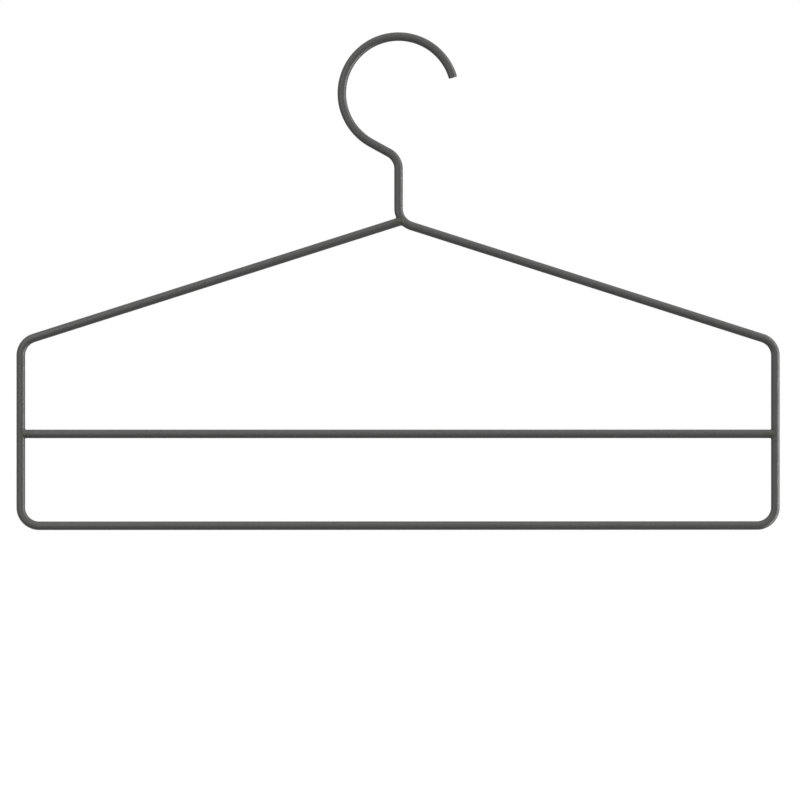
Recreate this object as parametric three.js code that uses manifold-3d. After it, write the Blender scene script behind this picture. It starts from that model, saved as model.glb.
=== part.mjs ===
// A coat hanger bent from one length of round steel wire, with a straight cross bar welded
// between its sides. The wire starts at the hook's tip and goes round the hook, down the
// neck, over the right shoulder, down the right side, along the bottom, up the left side and
// up the left shoulder. Its other end is welded to the bend at the foot of the neck.
//
// Millimetres, +X to the right seen from the front, +Y to the back, +Z up. The origin is the
// seat, the highest point of the hook's inside, and all wire lies in the plane y = 0.

import * as THREE from "three";
import { mergeVertices } from "three/addons/utils/BufferGeometryUtils.js";
import Module from "manifold-3d";

const wasm = await Module();
wasm.setup();

const { degToRad, lerp } = THREE.MathUtils;

// The hanger's sizes. Heights and lengths run between the folds of the wire's centre line,
// taken as if every small bend were sharp.
const OVERALL_WIDTH = 440; // over the outsides of the two sides
const WIRE_DIAMETER = 5; // over the powder coat
const HOOK_INSIDE_DIAMETER = 60.4;
const BEND_INSIDE_RADIUS = 8.1; // all the small bends are made round one former
const NECK_LENGTH = 36.8; // upright part between the hook and the shoulders
const SHOULDER_FALL = 69.3; // from the middle down to either end of the shoulders
const SIDE_HEIGHT = 105.8; // from the shoulders' ends down to the bottom run
const CROSS_BAR_HEIGHT = 52.9; // above the bottom run
const HOOK_TIP_ANGLE = degToRad(16.2); // of the cut end above the level of the hook's centre
const HOOK_FOOT_SLOPE = degToRad(28.8); // fall of the run that joins the hook to the neck
const TIP_CHAMFER = 0.5; // eased edge of the hook's cut end

// The welds' sizes.
const ROOT_GAP = 0.3; // between a cut end and the wire it meets, and round each weld
const WELD_REACH = 1.4; // how far a weld runs on along its wire past the cut end
const WELD_TOE = 0.15; // thickness of a weld at both its ends
const WELD_CROWN = 0.35; // how much thicker it is in the middle

// Fineness of the round shapes.
const WIRE_SIDES = 24;
const HOOK_STEP = degToRad(5);
const BEND_STEP = degToRad(8);
const WELD_STEPS = 8;
const CUT_OVERRUN = 1; // how far a cutter runs past what it cuts

const wireRadius = WIRE_DIAMETER / 2;
const hookRadius = HOOK_INSIDE_DIAMETER / 2 + wireRadius;
const bendRadius = BEND_INSIDE_RADIUS + wireRadius;
const gapRadius = wireRadius + ROOT_GAP;

// Points and directions in the hanger's plane are two-dimensional: across and up.
const plan = (across, up) => new THREE.Vector2(across, up);
const inSpace = (p) => new THREE.Vector3(p.x, 0, p.y);
const leftOf = (direction) => plan(-direction.y, direction.x);
const from = (p, direction, distance) => p.clone().addScaledVector(direction, distance);
const directionTo = (p, q) => q.clone().sub(p).normalize();

// A station is a place on a centre line and the way the wire runs there.
function arc(centre, radius, start, end, step) {
  const count = Math.ceil(Math.abs(end - start) / step);
  return Array.from({ length: count + 1 }, (_, i) => {
    const angle = lerp(start, end, i / count);
    const outward = plan(Math.cos(angle), Math.sin(angle));
    const heading = leftOf(outward).multiplyScalar(Math.sign(end - start));
    return { at: from(centre, outward, radius), heading };
  });
}

function straight(p, q) {
  const heading = directionTo(p, q);
  return [p, q].map((at) => ({ at, heading }));
}

// The rounded corner between two straight runs.
function bend(before, corner, after) {
  const entry = directionTo(before, corner);
  const exit = directionTo(corner, after);
  const turn = Math.atan2(entry.cross(exit), entry.dot(exit));
  const trim = bendRadius * Math.tan(Math.abs(turn) / 2);
  const start = from(corner, entry, -trim);
  const centre = from(start, leftOf(entry), bendRadius * Math.sign(turn));
  const startAngle = start.clone().sub(centre).angle();
  return { centre, stations: arc(centre, bendRadius, startAngle, startAngle + turn, BEND_STEP) };
}

// How far a line runs from a point outside a circle before it meets the circle.
function distanceToCircle(p, direction, centre, radius) {
  const away = p.clone().sub(centre);
  const along = away.dot(direction);
  return -along - Math.sqrt(along ** 2 - away.lengthSq() + radius ** 2);
}

// The hook, from its tip over the seat to the run that slopes down to the neck.
const hookCentre = plan(0, -HOOK_INSIDE_DIAMETER / 2);
const crownAngle = Math.PI / 2;
const hookEndAngle = (3 * Math.PI) / 2 - HOOK_FOOT_SLOPE;
const hook = [
  ...arc(hookCentre, hookRadius, HOOK_TIP_ANGLE, crownAngle, HOOK_STEP),
  ...arc(hookCentre, hookRadius, crownAngle, hookEndAngle, HOOK_STEP).slice(1),
];
const hookTip = hook.at(0);
const hookEnd = hook.at(-1).at;

// The folds of the centre line.
const sideX = (OVERALL_WIDTH - WIRE_DIAMETER) / 2;
const neckTop = plan(0, hookEnd.y + hookEnd.x * Math.tan(HOOK_FOOT_SLOPE));
const neckFoot = plan(0, neckTop.y - NECK_LENGTH);
const cornerZ = neckFoot.y - SHOULDER_FALL;
const bottomZ = cornerZ - SIDE_HEIGHT;
const crossBarZ = bottomZ + CROSS_BAR_HEIGHT;
const rightShoulder = plan(sideX, cornerZ);
const rightFoot = plan(sideX, bottomZ);
const leftFoot = plan(-sideX, bottomZ);
const leftShoulder = plan(-sideX, cornerZ);

const neckTopBend = bend(hookEnd, neckTop, neckFoot);
const neckFootBend = bend(neckTop, neckFoot, rightShoulder);
const rightShoulderBend = bend(neckFoot, rightShoulder, rightFoot);
const rightFootBend = bend(rightShoulder, rightFoot, leftFoot);
const leftFootBend = bend(rightFoot, leftFoot, leftShoulder);
const leftShoulderBend = bend(leftFoot, leftShoulder, neckFoot);

// The left shoulder runs up to the outside of the bend at the neck's foot. It stops where
// the first edge of its square end comes within the root gap of that bend.
const shoulderRun = directionTo(leftShoulder, neckFoot);
const toNeckJoint = distanceToCircle(neckFoot, shoulderRun, neckFootBend.centre, bendRadius);
const neckJoint = from(neckFoot, shoulderRun, toNeckJoint);
const toShoulderEnd = Math.min(
  ...[wireRadius, -wireRadius].map((offset) => {
    const edge = from(neckFoot, leftOf(shoulderRun), offset);
    return distanceToCircle(edge, shoulderRun, neckFootBend.centre, bendRadius + gapRadius);
  }),
);
const shoulderEnd = from(neckFoot, shoulderRun, toShoulderEnd);

// The cross bar fits between the sides, cut square with the root gap at both ends.
const barHalfLength = sideX - gapRadius;

// The centre line through a list of stations. A straight run needs only its two ends, so the
// stations are not evenly spaced.
class StationPath extends THREE.Curve {
  constructor(stations) {
    super();
    this.stations = stations;
  }

  stationAt(share) {
    return this.stations[Math.round(share * (this.stations.length - 1))];
  }

  getPointAt(share, target = new THREE.Vector3()) {
    return target.copy(inSpace(this.stationAt(share).at));
  }

  getTangentAt(share, target = new THREE.Vector3()) {
    return target.copy(inSpace(this.stationAt(share).heading));
  }
}

function rod(stations, radius) {
  const corners = Array.from({ length: WIRE_SIDES }, (_, i) => {
    const angle = (i / WIRE_SIDES) * 2 * Math.PI;
    return plan(radius * Math.cos(angle), radius * Math.sin(angle));
  });
  return new THREE.ExtrudeGeometry(new THREE.Shape(corners), {
    steps: stations.length - 1,
    extrudePath: new StationPath(stations),
  });
}

// A turned shape whose axis starts at a point of the plane and runs in a direction of it.
// The profile's points are radii and places along the axis.
function turned(profile, start, direction) {
  const axis = new THREE.Vector3(0, 1, 0);
  const aim = new THREE.Quaternion().setFromUnitVectors(axis, inSpace(direction));
  const place = inSpace(start);
  const points = profile.map(([radius, along]) => new THREE.Vector2(radius, along));
  return new THREE.LatheGeometry(points, WIRE_SIDES)
    .applyQuaternion(aim)
    .translate(place.x, place.y, place.z);
}

function solidOf(geometry) {
  const shell = new THREE.BufferGeometry()
    .setAttribute("position", geometry.attributes.position)
    .setIndex(geometry.index);
  const merged = mergeVertices(shell);
  return new wasm.Manifold(
    new wasm.Mesh({
      numProp: 3,
      vertProperties: merged.attributes.position.array,
      triVerts: new Uint32Array(merged.index.array),
    }),
  );
}

function geometryOf(solid) {
  const { vertProperties, triVerts } = solid.getMesh();
  const geometry = new THREE.BufferGeometry()
    .setAttribute("position", new THREE.BufferAttribute(vertProperties, 3))
    .setIndex(new THREE.BufferAttribute(triVerts, 1));
  geometry.computeVertexNormals();
  return geometry;
}

function cut(geometry, cutters) {
  const whole = solidOf(geometry);
  return geometryOf(cutters.reduce((rest, cutter) => rest.subtract(solidOf(cutter)), whole));
}

// A ring whose slanted inner face turns the sharp rim of the hook's tip into a chamfer.
function chamferRing() {
  const outside = wireRadius + CUT_OVERRUN;
  const inside = wireRadius - TIP_CHAMFER - CUT_OVERRUN;
  const ring = [
    [inside, CUT_OVERRUN],
    [outside, -TIP_CHAMFER - CUT_OVERRUN],
    [outside, CUT_OVERRUN],
    [inside, CUT_OVERRUN],
  ];
  return turned(ring, hookTip.at, hookTip.heading.clone().negate());
}

function frameWire() {
  const stations = [
    ...hook,
    ...neckTopBend.stations,
    ...neckFootBend.stations,
    ...rightShoulderBend.stations,
    ...rightFootBend.stations,
    ...leftFootBend.stations,
    ...leftShoulderBend.stations,
    { at: shoulderEnd, heading: shoulderRun },
  ];
  return cut(rod(stations, wireRadius), [chamferRing()]);
}

function crossBar() {
  return rod(straight(plan(-barHalfLength, 0), plan(barHalfLength, 0)), wireRadius);
}

// The weld round the cut end of one wire, where it meets the flank of another. The joint is
// where their centre lines meet, and the direction runs back from it along the cut wire.
// Both wires are cut out of the weld with the root gap round them.
function weld(joint, direction, setBack, wires) {
  const length = setBack + WELD_REACH;
  const outline = Array.from({ length: WELD_STEPS + 1 }, (_, i) => {
    const share = i / WELD_STEPS;
    return [gapRadius + WELD_TOE + WELD_CROWN * Math.sin(Math.PI * share), length * share];
  });
  const bead = turned([[0, 0], ...outline, [0, length]], joint, direction);
  const place = inSpace(joint);
  return cut(
    bead,
    wires.map((stations) => rod(stations, gapRadius)),
  ).translate(-place.x, -place.y, -place.z);
}

function neckWeld() {
  const neck = [
    neckTopBend.stations.at(-1),
    ...neckFootBend.stations,
    rightShoulderBend.stations.at(0),
  ];
  const shoulder = straight(leftShoulder, from(shoulderEnd, shoulderRun, ROOT_GAP));
  const backDown = shoulderRun.clone().negate();
  return weld(neckJoint, backDown, toNeckJoint - toShoulderEnd, [neck, shoulder]);
}

// The weld at the left end of the cross bar where inward is +1, and at the right where -1.
function crossBarWeld(inward) {
  const joint = plan(-inward * sideX, crossBarZ);
  const side = straight(plan(joint.x, cornerZ), plan(joint.x, bottomZ));
  const bar = straight(plan(-inward * (barHalfLength + ROOT_GAP), crossBarZ), plan(0, crossBarZ));
  return weld(joint, plan(inward, 0), sideX - barHalfLength, [side, bar]);
}

const powderCoat = new THREE.MeshStandardMaterial({
  name: "powder_coat",
  color: "#565653",
  roughness: 0.5,
  metalness: 0,
});
const powderCoatOverWeld = new THREE.MeshStandardMaterial({
  name: "powder_coat_over_weld",
  color: "#50504d",
  roughness: 0.45,
  metalness: 0,
});

function piece(name, geometry, material, place) {
  const mesh = new THREE.Mesh(geometry, material);
  mesh.name = name;
  mesh.position.copy(inSpace(place));
  return mesh;
}

const hanger = new THREE.Group();
hanger.name = "coat_hanger";
hanger.add(
  piece("frame_wire", frameWire(), powderCoat, plan(0, 0)),
  piece("cross_bar", crossBar(), powderCoat, plan(0, crossBarZ)),
  piece("neck_weld", neckWeld(), powderCoatOverWeld, neckJoint),
  piece("left_bar_weld", crossBarWeld(1), powderCoatOverWeld, plan(-sideX, crossBarZ)),
  piece("right_bar_weld", crossBarWeld(-1), powderCoatOverWeld, plan(sideX, crossBarZ)),
);

export default hanger;
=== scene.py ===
# %% [markdown]
# # A coat hanger of bent wire
#
# This lesson dresses a finished model of a coat hanger. The hanger is one long piece of round
# steel wire, bent into a hook, a neck, two shoulders and a rectangle, and one straight bar
# across it. Three small welds hold it together, and everything is powder coated dark grey.
#
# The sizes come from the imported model, which is loaded first. It is built of coarse facets, so
# each piece is made again here, in the same place, as a smooth mesh, with an eased cut at the
# hook's tip and real weld metal. After that come the coat, the light and the camera.

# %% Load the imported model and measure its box
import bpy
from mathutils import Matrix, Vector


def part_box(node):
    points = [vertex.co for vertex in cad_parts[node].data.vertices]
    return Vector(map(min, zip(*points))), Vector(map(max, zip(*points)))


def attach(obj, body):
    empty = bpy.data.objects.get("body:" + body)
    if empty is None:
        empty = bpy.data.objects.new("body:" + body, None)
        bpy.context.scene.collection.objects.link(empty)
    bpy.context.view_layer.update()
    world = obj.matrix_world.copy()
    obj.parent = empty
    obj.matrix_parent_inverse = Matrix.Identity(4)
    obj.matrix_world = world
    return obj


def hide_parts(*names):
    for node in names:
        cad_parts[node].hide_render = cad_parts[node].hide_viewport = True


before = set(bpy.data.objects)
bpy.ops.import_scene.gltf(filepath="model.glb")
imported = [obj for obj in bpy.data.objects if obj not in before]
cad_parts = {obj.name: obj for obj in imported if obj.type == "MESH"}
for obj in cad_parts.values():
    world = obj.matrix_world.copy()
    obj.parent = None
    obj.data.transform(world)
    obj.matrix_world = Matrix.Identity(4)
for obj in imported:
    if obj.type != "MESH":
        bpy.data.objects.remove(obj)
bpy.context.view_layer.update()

print("Pieces:", sorted(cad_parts))

# %% [markdown]
# ## The sizes
#
# Blender works in metres, and a hanger is easier to think of in millimetres, so `MM` turns one
# into the other. What the model's boxes can tell is read from them: the wire's thickness, the
# width, and the heights of the cross bar and the bottom run. The bends have no box of their
# own, so their sizes are written here.
#
# The origin is the seat, the highest point of the hook's inside.

# %% Sizes of the hanger
import math

import bmesh
import bpy
from mathutils import Matrix, Vector, noise
from mathutils.bvhtree import BVHTree

MM = 0.001

frame_low, frame_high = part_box("frame_wire")
bar_low, bar_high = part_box("cross_bar")

WIRE_RADIUS = (bar_high.z - bar_low.z) / 2
SIDE_X = frame_high.x - WIRE_RADIUS
BOTTOM_Z = frame_low.z + WIRE_RADIUS
BAR_Z = (bar_high.z + bar_low.z) / 2

HOOK_INSIDE_RADIUS = 30.2 * MM
BEND_INSIDE_RADIUS = 8.1 * MM
NECK_LENGTH = 36.8 * MM
SHOULDER_FALL = 69.3 * MM
HOOK_TIP_ANGLE = math.radians(16.2)
HOOK_FOOT_SLOPE = math.radians(28.8)

HOOK_RADIUS = HOOK_INSIDE_RADIUS + WIRE_RADIUS
BEND_RADIUS = BEND_INSIDE_RADIUS + WIRE_RADIUS

print(f"Wire {2 * WIRE_RADIUS / MM:.2f} mm thick, sides {2 * SIDE_X / MM:.1f} mm apart")

# %% [markdown]
# ## A wire bender in mesh code
#
# A wire bender knows two moves. It feeds the wire straight ahead, and it bends it round a
# former. Blender has the same two moves for the open end of a mesh tube: `extrude_edge_only`
# pushes the end ring forwards, and `spin` turns it round a point. A curve with a bevel would
# be quicker, but bending by hand gives even rings in every bend and long clean faces on the
# straights, where more rings would show nothing.
#
# The whole hanger lies in one plane, seen from the front. A bend to the left turns about an
# axis that points at the viewer, which is minus Y.

# %% Helpers for the open end of a tube
WIRE_SIDES = 48
TOWARDS_VIEWER = Vector((0, -1, 0))


def left_of(heading):
    """The direction to the left of a heading, as the viewer sees it."""
    return TOWARDS_VIEWER.cross(heading)


def points_of(edges):
    """The edges' points, each once, in a steady order."""
    return list(dict.fromkeys(vert for edge in edges for vert in edge.verts))


def edges_in(parts):
    """The edges among the parts that an operator returned."""
    return [part for part in parts if isinstance(part, bmesh.types.BMEdge)]


def ring_at(bm, point, heading):
    """Adds the circle that a wire starts from, and returns its edges."""
    facing = heading.to_track_quat("Z", "X").to_matrix().to_4x4()
    place = Matrix.Translation(point) @ facing
    made = bmesh.ops.create_circle(bm, segments=WIRE_SIDES, radius=WIRE_RADIUS, matrix=place)
    return list(dict.fromkeys(edge for vert in made["verts"] for edge in vert.link_edges))


# %% [markdown]
# A wire in the bender has a mesh, an open end and a heading. Both moves keep all three up to
# date. They also count how much wire has gone through, which is the length to cut.

# %% The wire bender
BEND_STEP = math.radians(3)


class Wire:
    """A tube in the making, which grows at its open end."""

    def __init__(self, start, heading):
        self.bm = bmesh.new()
        self.end = start.copy()
        self.heading = heading.normalized()
        self.length = 0
        self.first_ring = ring_at(self.bm, self.end, self.heading)
        self.ring = self.first_ring

    def feed(self, length):
        """Pushes the wire straight ahead."""
        grown = bmesh.ops.extrude_edge_only(self.bm, edges=self.ring)["geom"]
        moved = [part for part in grown if isinstance(part, bmesh.types.BMVert)]
        bmesh.ops.translate(self.bm, verts=moved, vec=self.heading * length)
        self.ring = [edge for edge in edges_in(grown) if set(edge.verts) <= set(moved)]
        self.end += self.heading * length
        self.length += length

    def bend(self, radius, angle):
        """Bends to the left by an angle, or to the right if it is negative."""
        centre = self.end + left_of(self.heading) * math.copysign(radius, angle)
        spun = bmesh.ops.spin(
            self.bm,
            geom=[*points_of(self.ring), *self.ring],
            cent=centre,
            axis=TOWARDS_VIEWER,
            angle=angle,
            steps=math.ceil(abs(angle) / BEND_STEP),
        )
        self.ring = edges_in(spun["geom_last"])
        turn = Matrix.Rotation(angle, 3, TOWARDS_VIEWER)
        self.end = centre + turn @ (self.end - centre)
        self.heading = turn @ self.heading
        self.length += radius * abs(angle)


# %% [markdown]
# ## Where the wire folds
#
# A drawing of a bent wire gives the points where its centre line would fold if every bend were
# sharp. The hook is an arc round a centre straight below the seat, and its end slopes down to
# the first fold, on the middle line. The other folds follow from the sizes.

# %% The folds of the centre line
HOOK_CENTRE = Vector((0, 0, -HOOK_INSIDE_RADIUS))
HOOK_SWEEP = 3 * math.pi / 2 - HOOK_FOOT_SLOPE - HOOK_TIP_ANGLE


def on_hook(angle):
    """A point on the hook's centre line, at an angle above the level of its centre."""
    return HOOK_CENTRE + HOOK_RADIUS * Vector((math.cos(angle), 0, math.sin(angle)))


hook_tip = on_hook(HOOK_TIP_ANGLE)
hook_foot = on_hook(HOOK_TIP_ANGLE + HOOK_SWEEP)
neck_top = Vector((0, 0, hook_foot.z + hook_foot.x * math.tan(HOOK_FOOT_SLOPE)))
neck_foot = neck_top - Vector((0, 0, NECK_LENGTH))
shoulder_z = neck_foot.z - SHOULDER_FALL
folds = [
    neck_top,
    neck_foot,
    Vector((SIDE_X, 0, shoulder_z)),
    Vector((SIDE_X, 0, BOTTOM_Z)),
    Vector((-SIDE_X, 0, BOTTOM_Z)),
    Vector((-SIDE_X, 0, shoulder_z)),
    neck_foot,
]

print(f"Neck from z {neck_top.z / MM:.1f} to {neck_foot.z / MM:.1f} mm")

# %% [markdown]
# A round bend cuts the corner at its fold, so the straight before it has to end early. The
# sharper the turn, the earlier it ends.

# %% Bend at a fold
def bend_at(wire, fold, after):
    """Feeds up to a fold and bends round it, towards the point after it."""
    onward = (after - fold).normalized()
    angle = math.atan2(onward.dot(left_of(wire.heading)), onward.dot(wire.heading))
    trim = BEND_RADIUS * math.tan(abs(angle) / 2)
    wire.feed((fold - wire.end).length - trim)
    wire.bend(BEND_RADIUS, angle)


# %% [markdown]
# A butt weld presses a hot cut end onto the flank of another wire until it fits all round.
# `press_onto` does that with rays: each point of the rim goes ahead as far as its ray says. The
# rays start a little inside the rim, so that none slips past a flank that it only grazes.
# The rim is marked as a sharp edge, because smooth shading would otherwise blend the long
# sides of the wire with the cut.

# %% Press an end onto a flank
RAY_SHARE = 0.97
MELT_DEPTH = 0.15 * MM


def press_onto(flank, bm, ring, end, heading):
    """Presses an open end onto a flank, so that every point of its rim melts in a little.
    Returns the point where the end first touched."""
    gaps = []
    for vert in points_of(ring):
        inside = end + (vert.co - end) * RAY_SHARE
        *_, gap = flank.ray_cast(inside, heading)
        vert.co += heading * (gap + MELT_DEPTH)
        gaps.append(gap)
    for edge in ring:
        edge.smooth = False
    cut = bmesh.ops.edgeloop_fill(bm, edges=ring)["faces"]
    bmesh.ops.poke(bm, faces=cut)
    return end + heading * min(gaps)


# %% [markdown]
# ## The frame wire
#
# The real wire is cut to length, then bent from the hook's tip onwards, and its last end is
# pressed onto the bend at the foot of the neck. The mesh is made in the same order.

# %% Bend the frame wire
wire = Wire(hook_tip, left_of(hook_tip - HOOK_CENTRE))
wire.bend(HOOK_RADIUS, HOOK_SWEEP)
for fold, after in zip(folds, folds[1:]):
    bend_at(wire, fold, after)

bmesh.ops.recalc_face_normals(wire.bm, faces=wire.bm.faces[:])
flanks = BVHTree.FromBMesh(wire.bm)
wire.feed(WIRE_RADIUS)
shoulder_end = press_onto(flanks, wire.bm, wire.ring, wire.end, wire.heading)
wire.length += (shoulder_end - wire.end).length
print(f"Frame wire: {wire.length / MM:.0f} mm of wire, {len(wire.bm.faces)} faces")

# %% [markdown]
# The hook's tip is a cut that a file has eased, so its rim gets a small round bevel. A narrow
# inset keeps the cut itself flat when the mesh is shaded smooth.

# %% Ease the cut at the hook's tip
TIP_ROUNDING = 0.25 * MM
CUT_INSET = 0.2 * MM

bmesh.ops.edgeloop_fill(wire.bm, edges=wire.first_ring)
bmesh.ops.bevel(
    wire.bm,
    geom=wire.first_ring,
    offset=TIP_ROUNDING,
    offset_type="OFFSET",
    segments=4,
    profile=0.5,
    affect="EDGES",
    material=-1,
)
cuts = [face for face in wire.bm.faces if len(face.verts) == WIRE_SIDES]
tip_cut = min(cuts, key=lambda face: (face.calc_center_median() - hook_tip).length)
bmesh.ops.inset_region(wire.bm, faces=[tip_cut], thickness=CUT_INSET)
print(f"Tip cut: {math.sqrt(tip_cut.calc_area() / math.pi) / MM:.2f} mm radius left flat")

# %% [markdown]
# A bmesh is only a workbench. `finished` takes the mesh off it, gives it an object and shades it
# smooth. It also hangs the piece on the root body and hides the node of the imported model that
# the piece stands for. The object stays at the origin, and the piece's place is in its mesh.

# %% Make a piece of a finished mesh
def new_object(name, data):
    """An object at the origin, in the scene."""
    thing = bpy.data.objects.new(name, data)
    bpy.context.scene.collection.objects.link(thing)
    return thing


def object_of(bm, name):
    """An object that takes over the mesh of a bmesh."""
    mesh = bpy.data.meshes.new(name)
    bm.to_mesh(mesh)
    bm.free()
    return new_object(name, mesh)


def finished(bm, name, node):
    """The piece made of a bmesh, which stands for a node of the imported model."""
    bmesh.ops.recalc_face_normals(bm, faces=bm.faces[:])
    piece = object_of(bm, name)
    piece.data.shade_smooth()
    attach(piece, "root")
    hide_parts(node)
    return piece


bent_wire = finished(wire.bm, "bent_wire", "frame_wire")
print(f"{bent_wire.name}: {len(bent_wire.data.polygons)} faces")

# %% [markdown]
# ## The cross bar
#
# The bar is a straight length of the same wire. It starts as a short piece in the middle, and
# both its ends are pressed onto the insides of the sides, so it fits whatever the width is.

# %% Fit the cross bar
TO_THE_RIGHT = Vector((1, 0, 0))

start = Vector((0, 0, BAR_Z))
bar = Wire(start, TO_THE_RIGHT)
bar.feed(WIRE_RADIUS)
left_end = press_onto(flanks, bar.bm, bar.first_ring, start, -bar.heading)
right_end = press_onto(flanks, bar.bm, bar.ring, bar.end, bar.heading)
print(f"Cross bar: {(right_end - left_end).length / MM:.1f} mm long")

straight_bar = finished(bar.bm, "straight_bar", "cross_bar")

# %% [markdown]
# ## The welds
#
# A weld joins a cut end to the flank of another wire. Drops of molten steel are laid round the
# seam, and surface tension pulls them into the corner. A boolean union and a bevel would give
# a seam that looks machined, so the welds here copy the process: short lengths of the two
# wires and a ring of drops are fused into one skin by a voxel remesh, and smoothing then draws
# the skin tight.
#
# The fused skin is sunk a little, so that along the wires it hides inside them, and only the
# weld metal stands out of them. The seam itself is found with rays, sent along the cut wire
# onto the flank ahead of it.

# %% Find the seam between a cut end and a flank
def seam(end, heading, count):
    """Points round the seam ahead of a cut end. Each comes with the outward directions of the
    cut wire and of the flank there."""
    for turn in range(count):
        spoke = Matrix.Rotation(math.tau * turn / count, 3, heading) @ TOWARDS_VIEWER
        start = end - heading * WIRE_RADIUS + spoke * (WIRE_RADIUS * RAY_SHARE)
        point, flank_normal, _, _ = flanks.ray_cast(start, heading)
        yield point, spoke, flank_normal


# %% [markdown]
# The skin needs the wires only a few millimetres round the seam, so a copy of them is sawn off
# on four sides. Each cut is closed before the next one is made, because a voxel remesh fills
# what is closed and loses what is open.

# %% Cut out the wires round a joint
BLANK_REACH = 3.6 * MM


def joint_blank(end):
    """The wires round a joint, cut off a short way from it."""
    bm = bmesh.new()
    bm.from_mesh(bent_wire.data)
    bm.from_mesh(straight_bar.data)
    for axis in (Vector((1, 0, 0)), Vector((0, 0, 1))):
        for outward in (axis, -axis):
            sawn = bmesh.ops.bisect_plane(
                bm,
                geom=[*bm.verts, *bm.edges, *bm.faces],
                plane_co=end + outward * BLANK_REACH,
                plane_no=outward,
                clear_outer=True,
            )
            bmesh.ops.holes_fill(bm, edges=edges_in(sawn["geom_cut"]))
    return bm


# %% [markdown]
# Modifiers fuse the wires and the drops. The remesh makes one skin, the smoothing draws it
# tight, and the displacement sinks it. The result is then taken as the piece's own mesh, so
# nothing is left to compute.

# %% Fuse a piece into one skin
VOXEL = 0.12 * MM
TENSION = 0.5
TENSION_ROUNDS = 11
SKIN_SINK = 0.03 * MM


def fused(piece):
    """The piece, with its mesh fused into one tight skin."""
    fuse = piece.modifiers.new("Fuse", "REMESH")
    fuse.mode = "VOXEL"
    fuse.voxel_size = VOXEL
    tighten = piece.modifiers.new("Tighten", "SMOOTH")
    tighten.factor = TENSION
    tighten.iterations = TENSION_ROUNDS
    sink = piece.modifiers.new("Sink", "DISPLACE")
    sink.mid_level = 0
    sink.strength = -SKIN_SINK

    depsgraph = bpy.context.evaluated_depsgraph_get()
    skin = bpy.data.meshes.new_from_object(piece.evaluated_get(depsgraph))
    piece.modifiers.clear()
    piece.data = skin
    skin.shade_smooth()
    return piece


# %% [markdown]
# How far a drop stands out depends on the place. In the corner between the wires there is room
# for metal, and in front, where they are flush, a drop stands out by less. A hand lays no two
# drops alike, and smooth noise at the drop's own place moves each by up to a tenth of its
# radius. The noise has no dice in it, so every run makes the same weld.
#
# Neighbouring drops overlap, so the fused bead is rippled and not a row of beads.

# %% Lay the drops round a seam
UNEVENNESS = 0.1


def weld(name, node, end, heading, drops, radius, front_reach, corner_reach):
    """A bead round a seam. Its drops reach out by less in front, where the wires are flush."""
    bm = joint_blank(end)
    for point, wire_out, flank_out in seam(end, heading, drops):
        opening = 1 - wire_out.dot(flank_out)
        reach = front_reach + (corner_reach - front_reach) * opening
        reach += UNEVENNESS * radius * noise.noise(point / radius)
        middle = point + (wire_out + flank_out).normalized() * (reach - radius)
        place = Matrix.Translation(middle)
        bmesh.ops.create_icosphere(bm, subdivisions=3, radius=radius, matrix=place)
    bead = fused(finished(bm, name, node))
    print(f"{name}: {drops} drops, {len(bead.data.polygons)} faces")
    return bead


# %% [markdown]
# The weld at the neck closes the frame and carries everything, so it gets bigger drops, and its
# bead stands out all round. At the bar's ends small drops leave a fillet above and below, and in
# front hardly a trace.

# %% Weld the three joints
AT_THE_NECK = {
    "drops": 16,
    "radius": 1.5 * MM,
    "front_reach": 0.45 * MM,
    "corner_reach": 0.5 * MM,
}
AT_THE_BAR = {
    "drops": 18,
    "radius": 0.9 * MM,
    "front_reach": 0.15 * MM,
    "corner_reach": 0.4 * MM,
}

neck_bead = weld("neck_bead", "neck_weld", shoulder_end, wire.heading, **AT_THE_NECK)
right_bead = weld("right_bead", "right_bar_weld", right_end, bar.heading, **AT_THE_BAR)
left_bead = weld("left_bead", "left_bar_weld", left_end, -bar.heading, **AT_THE_BAR)

# %% [markdown]
# ## The powder coat
#
# Powder coat is paint that goes on as dry powder and is baked until it flows together. It never
# flows quite flat. Lumps less than a millimetre across leave a skin like orange peel, and a finer
# grit lies over it. In a highlight both break the light up into specks, and that is what tells
# the eye that this is coated steel and not plastic.
#
# A picture of real paint could be wrapped round the wire, but it would need a seam and would
# blur close up. Here all of it comes from noise on Object coordinates. Every piece's object sits
# at the origin, so the pattern runs on from one piece to the next without a break.

# %% Helpers for shader nodes
def empty_tree(owner):
    """The node tree of a material or of the world, with nothing in it."""
    owner.use_nodes = True
    owner.node_tree.nodes.clear()
    return owner.node_tree


def add_node(tree, kind, inputs=(), **settings):
    """Adds a shader node. Inputs are pairs of a socket's name and a value or another socket."""
    node = tree.nodes.new(kind)
    for name, value in settings.items():
        setattr(node, name, value)
    for name, value in inputs:
        if isinstance(value, bpy.types.NodeSocket):
            tree.links.new(value, node.inputs[name])
        else:
            node.inputs[name].default_value = value
    return node


# %% [markdown]
# Noise is a number from 0 to 1 at every place, but it hardly ever comes near either end. So it
# is stretched, and then it can shade a colour from dark to light.

# %% Noise and what is made of it
NOISE_LOW = 0.3
NOISE_HIGH = 0.7


def lumps(tree, place, size, detail=2.0):
    """Noise whose lumps are about as wide as the size."""
    inputs = [("Vector", place), ("Scale", 1 / size), ("Detail", detail)]
    return add_node(tree, "ShaderNodeTexNoise", inputs).outputs["Fac"]


def stretched(tree, value, low=0, high=1, start=NOISE_LOW, end=NOISE_HIGH):
    """Maps a value: start and below become low, and end and above become high."""
    inputs = [
        ("Value", value),
        ("From Min", start),
        ("From Max", end),
        ("To Min", low),
        ("To Max", high),
    ]
    return add_node(tree, "ShaderNodeMapRange", inputs).outputs["Result"]


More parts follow.
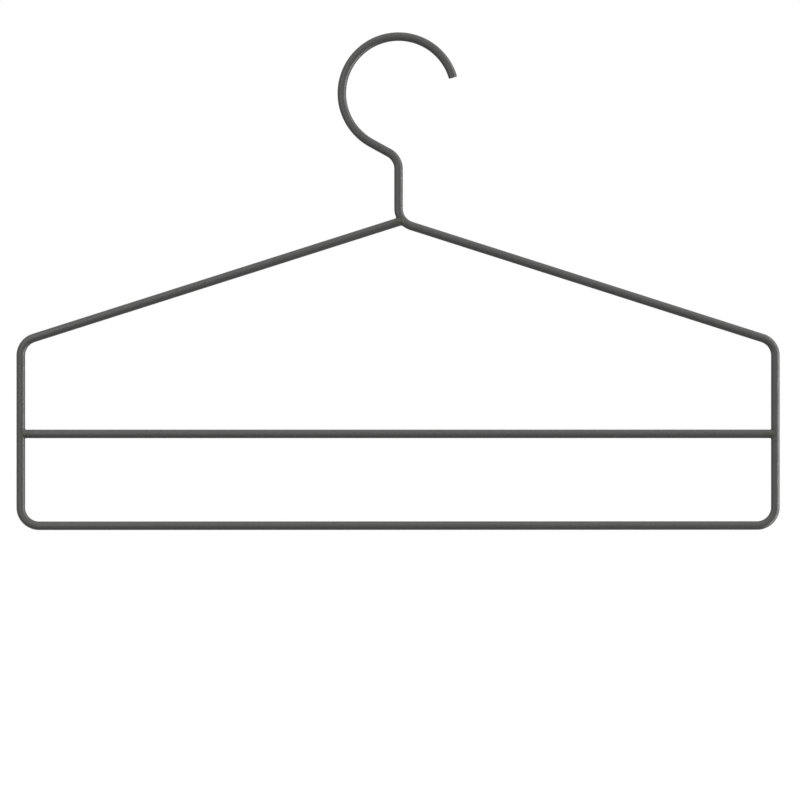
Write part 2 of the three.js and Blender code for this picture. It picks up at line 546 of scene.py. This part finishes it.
def blend(tree, share, a, b, data_type="FLOAT"):
    """Mixes two numbers, or two colours if the type is RGBA. The share is that of b."""
    inputs = [("Factor", share), ("A", a), ("B", b)]
    return add_node(tree, "ShaderNodeMix", inputs, data_type=data_type).outputs["Result"]


def varied(tree, pattern, colour, spread):
    """A colour that is darker where a pattern is 0 and lighter where it is 1."""
    darker = [channel * (1 - spread) for channel in colour] + [1]
    lighter = [channel * (1 + spread) for channel in colour] + [1]
    return blend(tree, pattern, darker, lighter, data_type="RGBA")


# %% [markdown]
# Over a weld the steel is rough and holds the powder differently, so the coat is blotchy there
# and a touch darker, with a hint of olive. On the beads the blotches are strong. On the wires
# next to them they are faint, and a few millimetres from the joint they have faded into the
# plain coat.

# %% How near a place is to a weld
WELD_FADE_START = 3 * MM
WELD_FADE_END = 7 * MM


def near_weld(tree, place):
    """1 at the three joints, and 0 where the coat shows nothing of them any more."""
    nearest = WELD_FADE_END
    for joint in (shoulder_end, left_end, right_end):
        inputs = [(0, place), (1, joint)]
        away = add_node(tree, "ShaderNodeVectorMath", inputs, operation="DISTANCE")
        inputs = [(0, away.outputs["Value"]), (1, nearest)]
        nearest = add_node(tree, "ShaderNodeMath", inputs, operation="MINIMUM").outputs["Value"]
    return stretched(tree, nearest, 1, 0, start=WELD_FADE_START, end=WELD_FADE_END)


# %% [markdown]
# The plain coat is not one flat colour either. Painted shade makes it a little darker in the dips
# of the peel, and painted light a little lighter on its tops. Slow clouds of lighter and darker
# grey run along the wire.

# %% The colour of the coat
COAT_COLOUR = (0.092, 0.092, 0.088)
WELD_COAT_COLOUR = (0.08, 0.08, 0.07)
BLOTCH_SIZE = 1.2 * MM
BLOTCH_LOW = 0.4
BLOTCH_HIGH = 0.6
CLOUD_SIZE = 18 * MM
PEEL_SHADE_SHARE = 0.8
CLOUD_AND_PEEL_SHADE_SPREAD = 0.12
SPREAD_ON_WIRE = 0.12
SPREAD_ON_BEAD = 0.5


def coat_colour(tree, place, peel, on_weld):
    """The colour of the coat on the wires or, if it is on a weld, on the beads."""
    blotch = lumps(tree, place, BLOTCH_SIZE)
    blotches = stretched(tree, blotch, start=BLOTCH_LOW, end=BLOTCH_HIGH)
    if on_weld:
        return varied(tree, blotches, WELD_COAT_COLOUR, SPREAD_ON_BEAD)
    cloud = lumps(tree, place, CLOUD_SIZE)
    # Mostly painted shade in the peel's dips and painted light on its tops, with a fifth of
    # random cloud tone.
    clouds_and_peel_shade = stretched(tree, blend(tree, PEEL_SHADE_SHARE, cloud, peel))
    plain = varied(tree, clouds_and_peel_shade, COAT_COLOUR, CLOUD_AND_PEEL_SHADE_SPREAD)
    blotchy = varied(tree, blotches, WELD_COAT_COLOUR, SPREAD_ON_WIRE)
    return blend(tree, near_weld(tree, place), plain, blotchy, data_type="RGBA")


# %% [markdown]
# The peel and the grit together make the height of the coat, and the shader turns that height
# into bumps. The tops of the peel are the rougher parts, because they are what cloth and other
# hangers rub against. One function makes both coats.

# %% The two coats
PEEL_SIZE = 0.7 * MM
GRIT_SIZE = 0.4 * MM
PEEL_HEIGHT = 0.1 * MM
GRIT_IN_HEIGHT = 0.3
SMOOTHEST = 0.34
ROUGHEST = 0.44
SPECULAR_LEVEL = 0.2


def powder_coat(name, on_weld):
    """The coat of the wires or, if it is on a weld, of the beads."""
    material = bpy.data.materials.new(name)
    tree = empty_tree(material)
    place = add_node(tree, "ShaderNodeTexCoord").outputs["Object"]
    peel = lumps(tree, place, PEEL_SIZE)
    grit = lumps(tree, place, GRIT_SIZE, detail=3.0)
    height = blend(tree, GRIT_IN_HEIGHT, peel, grit)
    bump_inputs = [("Height", height), ("Distance", PEEL_HEIGHT), ("Strength", 1)]
    bump = add_node(tree, "ShaderNodeBump", bump_inputs)
    shader_inputs = [
        ("Base Color", coat_colour(tree, place, peel, on_weld)),
        ("Roughness", stretched(tree, peel, SMOOTHEST, ROUGHEST)),
        ("Specular IOR Level", SPECULAR_LEVEL),
        ("Normal", bump.outputs["Normal"]),
    ]
    shader = add_node(tree, "ShaderNodeBsdfPrincipled", shader_inputs)
    add_node(tree, "ShaderNodeOutputMaterial", [("Surface", shader.outputs["BSDF"])])
    print(f"{name}: {len(tree.nodes)} nodes")
    return material


coat = powder_coat("powder_coat", on_weld=False)
weld_coat = powder_coat("powder_coat_over_weld", on_weld=True)
for piece in (bent_wire, straight_bar):
    piece.data.materials.append(coat)
for piece in (neck_bead, right_bead, left_bead):
    piece.data.materials.append(weld_coat)

# %% [markdown]
# ## A white room
#
# The hanger hangs free in front of plain white. A white backdrop is often lit until it clips,
# but then the same light washes out the object. Here white comes from what is seen, and not
# from stronger light. The floor and the world glow white for the camera, for reflections and
# for rays that pass through glass, and they stay dim as a light on things.

# %% One glow for the view, another for the light
def glow(tree, for_light, for_view):
    """One strength for light on things, and one for the camera, a reflection or glass."""
    rays = add_node(tree, "ShaderNodeLightPath").outputs
    inputs = [(0, rays["Is Camera Ray"]), (1, rays["Is Glossy Ray"])]
    seen = add_node(tree, "ShaderNodeMath", inputs, operation="MAXIMUM").outputs["Value"]
    inputs = [(0, seen), (1, rays["Is Transmission Ray"])]
    seen = add_node(tree, "ShaderNodeMath", inputs, operation="MAXIMUM").outputs["Value"]
    inputs = [("Value", seen), ("To Min", for_light), ("To Max", for_view)]
    return add_node(tree, "ShaderNodeMapRange", inputs).outputs["Result"]


# %% [markdown]
# The floor lies well below the hanger. Its own colour takes the shadow, and the glow only lifts
# it to white.

# %% The floor
FLOOR_Z = -1.5
FLOOR_RADIUS = 30
FLOOR_COLOUR = 0.3
FLOOR_GLOW = 0.7
WHITE = (1, 1, 1, 1)

bm = bmesh.new()
middle_of_floor = Matrix.Translation((0, 0, FLOOR_Z))
bmesh.ops.create_circle(
    bm, cap_ends=True, segments=96, radius=FLOOR_RADIUS, matrix=middle_of_floor
)
floor = object_of(bm, "floor")

paper = bpy.data.materials.new("white_paper")
tree = empty_tree(paper)
matt_inputs = [
    ("Base Color", (FLOOR_COLOUR, FLOOR_COLOUR, FLOOR_COLOUR, 1)),
    ("Roughness", 1),
    ("Specular IOR Level", 0),
    ("Emission Color", WHITE),
    ("Emission Strength", glow(tree, 0, FLOOR_GLOW)),
]
matt = add_node(tree, "ShaderNodeBsdfPrincipled", matt_inputs)
add_node(tree, "ShaderNodeOutputMaterial", [("Surface", matt.outputs["BSDF"])])
floor.data.materials.append(paper)
print(f"Floor {-FLOOR_Z} m down, {2 * FLOOR_RADIUS} m across")

# %% [markdown]
# The world does the same as the floor. What is seen of it is white, and the light that it sends
# onto things is a tenth of that, just enough to keep the shadows from going black.

# %% The world
WORLD_LIGHT = 0.1

world = bpy.data.worlds.new("white_room")
bpy.context.scene.world = world
tree = empty_tree(world)
sky_inputs = [("Color", WHITE), ("Strength", glow(tree, WORLD_LIGHT, 1))]
sky = add_node(tree, "ShaderNodeBackground", sky_inputs)
add_node(tree, "ShaderNodeOutputWorld", [("Surface", sky.outputs["Background"])])
print(f"World: white to look at, {WORLD_LIGHT} as a light")

# %% [markdown]
# ## The lamps
#
# Photographers set the light on the colours and the light in the reflections with different
# lamps, and Cycles can take the two apart completely. Here a sun lights the surfaces and shows
# in no reflection, and a strip shows in reflections and lights nothing else. All lamps face the
# middle of the hanger.

# %% Helpers that set up a lamp
SUN_SPREAD = math.radians(70)

hanger_middle = Vector((0, 0, (frame_low.z + frame_high.z) / 2))


def aimed(light, place):
    """A lamp object at a place, which faces the middle of the hanger."""
    lamp = new_object(light.name, light)
    lamp.location = place
    inwards = hanger_middle - Vector(place)
    lamp.rotation_euler = inwards.to_track_quat("-Z", "Y").to_euler()
    print(f"Lamp {light.name}, strength {light.energy:g}")
    return lamp


def soft_sun(name, direction, strength):
    """A wide sun that lights surfaces, but shows in no reflection."""
    light = bpy.data.lights.new(name, "SUN")
    light.energy = strength
    light.angle = SUN_SPREAD
    aimed(light, hanger_middle + Vector(direction)).visible_glossy = False


def strip(name, place, width, height, power):
    """A flat lamp that shows in reflections only."""
    light = bpy.data.lights.new(name, "AREA")
    light.shape = "RECTANGLE"
    light.size = width
    light.size_y = height
    light.energy = power
    lamp = aimed(light, place)
    lamp.visible_diffuse = False
    lamp.visible_camera = False


# %% [markdown]
# Of the three soft suns, the key comes from above and in front. It gives round bars a bright
# upper side and a dark lower one. One from the right lights the uprights, and a fill from
# behind keeps the back readable.

# %% The suns
soft_sun("key", direction=(0.12, -0.7, 1), strength=2.65)
soft_sun("side", direction=(1, -0.35, 0), strength=0.9)
soft_sun("fill", direction=(0, 1, 0.4), strength=1.6)

# %% [markdown]
# Of the three strips, a tall one far to the right draws the bright line along the right of each
# upright. The one above it does the same for the slanting parts of the hook. It is weaker,
# because seen from behind, the right shoulder mirrors it at a glancing angle, and a strong lamp
# would glare there. A faint strip at the left draws a second line in the middle of the uprights.
# Their places and sizes are in metres, and their power is in watts.

# %% The strips
strip("right_strip", place=(1.0, -0.15, -0.5), width=0.19, height=1.2, power=29)
strip("upper_strip", place=(1.0, -0.15, 0.45), width=0.19, height=0.7, power=9)
strip("left_strip", place=(-0.62, -0.85, 0.08), width=0.2, height=1.2, power=7)

# %% [markdown]
# ## The camera
#
# The camera looks level at the hanger from 1.6 m. Its lens follows from that distance and from
# the width that the picture shows. The hanger doesn't hang quite square to the viewer, and half
# a degree of turn gives the same look.

# %% The camera
VIEW_WIDTH = 461.2 * MM
VIEW_DISTANCE = 1.6
VIEW_CENTRE = Vector((0.85 * MM, 0, -207.0 * MM))
VIEW_TURN = math.radians(-0.5)

camera_data = bpy.data.cameras.new("camera")
camera_data.lens = camera_data.sensor_width * VIEW_DISTANCE / VIEW_WIDTH
camera = new_object("camera", camera_data)
turn = Matrix.Rotation(VIEW_TURN, 3, "Z")
camera.location = VIEW_CENTRE + turn @ TOWARDS_VIEWER * VIEW_DISTANCE
camera.rotation_euler = (math.radians(90), 0, VIEW_TURN)
bpy.context.scene.camera = camera
bpy.context.scene.view_settings.view_transform = "Standard"
print(f"Lens {camera_data.lens:.1f} mm, {VIEW_DISTANCE} m away")
